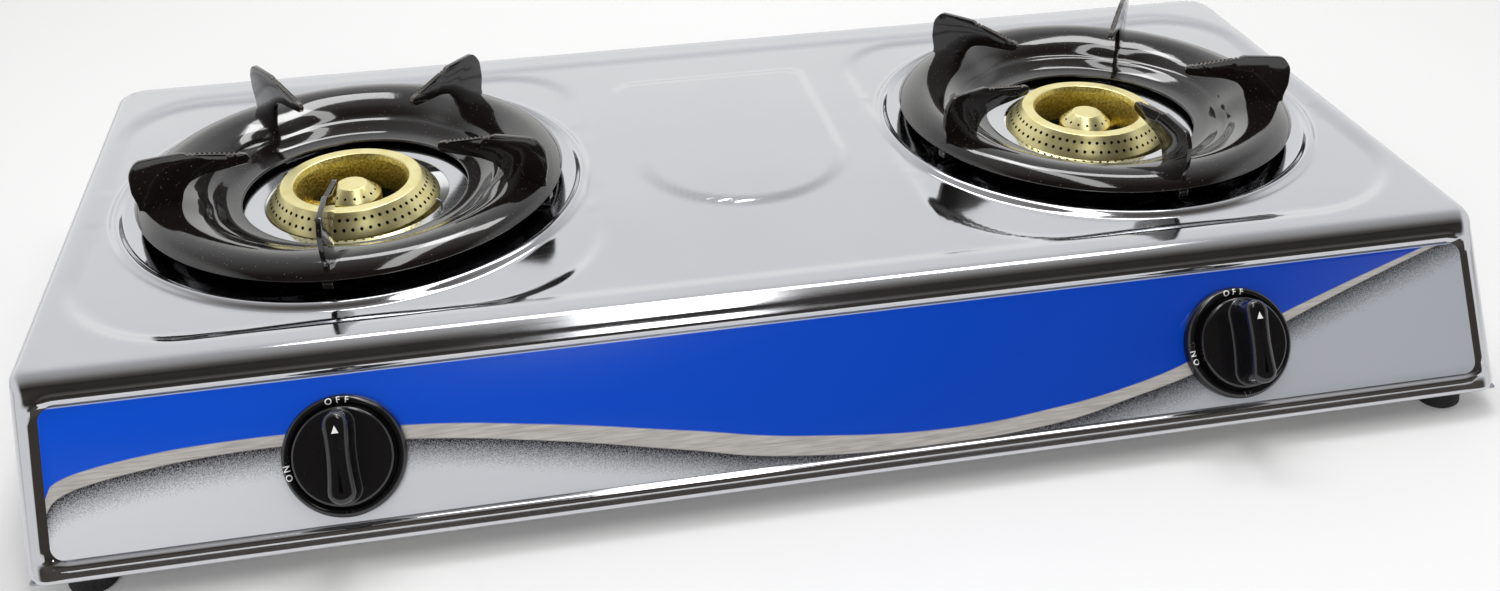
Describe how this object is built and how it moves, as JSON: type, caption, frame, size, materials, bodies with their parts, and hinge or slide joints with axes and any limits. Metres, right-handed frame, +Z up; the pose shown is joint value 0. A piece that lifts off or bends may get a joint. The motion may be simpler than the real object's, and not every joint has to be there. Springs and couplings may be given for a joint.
{
  "type": "two-burner tabletop gas stove",
  "caption": "Two-burner tabletop gas stove with a pressed steel body, brass burner heads, enamelled pan supports and push-and-turn knobs on an inclined panel.",
  "frame": {"origin": "on the surface the feet stand on, under the middle of the bounding box", "axes": "+X to the user's right along the front, +Y towards the rear, +Z up; the knobs face -Y"},
  "size_m": [0.7, 0.3934, 0.1202],
  "materials": {
    "polished_steel": "bright polished stainless sheet",
    "printed_panel": "gloss printed sheet in blue and silver",
    "zinc_steel": "zinc-plated",
    "brass": "cast and machined, satin",
    "cast_iron": "sand-cast",
    "black_enamel": "glossy vitreous enamel",
    "gloss_black_plastic": "moulded, polished",
    "rubber": "moulded",
    "white_ceramic": "glazed insulator",
    "lead_sleeve": "silicone sleeve"
  },
  "bodies": {
    "root": {"body_shell": "polished_steel", "front_panel": "printed_panel", "gas_rail": "zinc_steel", "hose_nozzle": "brass", "foot_rail_left": "zinc_steel", "burner_brace_left": "zinc_steel", "brace_screw_left_left": "zinc_steel", "brace_screw_left_right": "zinc_steel", "valve_bracket_left": "zinc_steel", "foot_front_left": "rubber", "foot_rear_left": "rubber", "drip_dish_left": "polished_steel", "burner_body_left": "cast_iron", "valve_body_left": "brass", "injector_left": "brass", "spark_electrode_left": "white_ceramic", "ignition_lead_left": "lead_sleeve", "bezel_left": "gloss_black_plastic", "foot_rail_right": "zinc_steel", "burner_brace_right": "zinc_steel", "brace_screw_right_left": "zinc_steel", "brace_screw_right_right": "zinc_steel", "valve_bracket_right": "zinc_steel", "foot_front_right": "rubber", "foot_rear_right": "rubber", "drip_dish_right": "polished_steel", "burner_body_right": "cast_iron", "valve_body_right": "brass", "injector_right": "brass", "spark_electrode_right": "white_ceramic", "ignition_lead_right": "lead_sleeve", "bezel_right": "gloss_black_plastic"},
    "left_support": {"support_tray_left": "black_enamel", "prong_left_1": "black_enamel", "prong_left_2": "black_enamel", "prong_left_3": "black_enamel", "prong_left_4": "black_enamel", "prong_left_5": "black_enamel"},
    "left_ring": {"burner_ring_left": "brass"},
    "left_cap": {"burner_cap_left": "brass"},
    "left_shutter": {"air_shutter_left": "zinc_steel"},
    "left_plug": {"valve_plug_left": "brass", "return_spring_left": "zinc_steel"},
    "left_knob": {"knob_left": "gloss_black_plastic", "spindle_left": "zinc_steel"},
    "right_support": {"support_tray_right": "black_enamel", "prong_right_1": "black_enamel", "prong_right_2": "black_enamel", "prong_right_3": "black_enamel", "prong_right_4": "black_enamel", "prong_right_5": "black_enamel"},
    "right_ring": {"burner_ring_right": "brass"},
    "right_cap": {"burner_cap_right": "brass"},
    "right_shutter": {"air_shutter_right": "zinc_steel"},
    "right_plug": {"valve_plug_right": "brass", "return_spring_right": "zinc_steel"},
    "right_knob": {"knob_right": "gloss_black_plastic", "spindle_right": "zinc_steel"}
  },
  "joints": [
    {"name": "left_knob_turn", "type": "hinge", "parent": "root", "child": "left_plug", "pos_m": [-0.212, -0.16382, 0.04434], "axis": [0, -0.8171, 0.5764], "range_deg": [0, 180]},
    {"name": "left_knob_push", "type": "slide", "parent": "left_plug", "child": "left_knob", "axis": [0, 0.8171, -0.5764], "range_m": [0, 0.003], "stiffness_N_per_m": 700, "springref_m": -0.004, "deforming": ["return_spring_left"]},
    {"name": "left_support_lift", "type": "slide", "parent": "root", "child": "left_support", "axis": [0, 0, 1], "range_m": [0, 0.06]},
    {"name": "left_ring_lift", "type": "slide", "parent": "root", "child": "left_ring", "axis": [0, 0, 1], "range_m": [0, 0.06]},
    {"name": "left_cap_lift", "type": "slide", "parent": "left_ring", "child": "left_cap", "axis": [0, 0, 1], "range_m": [0, 0.04]},
    {"name": "left_shutter_turn", "type": "hinge", "parent": "root", "child": "left_shutter", "pos_m": [-0.212, -0.104, 0.027], "axis": [0, 1, 0], "range_deg": [0, 60]},
    {"name": "right_knob_turn", "type": "hinge", "parent": "root", "child": "right_plug", "pos_m": [0.212, -0.16382, 0.04434], "axis": [0, -0.8171, 0.5764], "range_deg": [0, 180]},
    {"name": "right_knob_push", "type": "slide", "parent": "right_plug", "child": "right_knob", "axis": [0, 0.8171, -0.5764], "range_m": [0, 0.003], "stiffness_N_per_m": 700, "springref_m": -0.004, "deforming": ["return_spring_right"]},
    {"name": "right_support_lift", "type": "slide", "parent": "root", "child": "right_support", "axis": [0, 0, 1], "range_m": [0, 0.06]},
    {"name": "right_ring_lift", "type": "slide", "parent": "root", "child": "right_ring", "axis": [0, 0, 1], "range_m": [0, 0.06]},
    {"name": "right_cap_lift", "type": "slide", "parent": "right_ring", "child": "right_cap", "axis": [0, 0, 1], "range_m": [0, 0.04]},
    {"name": "right_shutter_turn", "type": "hinge", "parent": "root", "child": "right_shutter", "pos_m": [0.212, -0.104, 0.027], "axis": [0, 1, 0], "range_deg": [0, 60]}
  ]
}
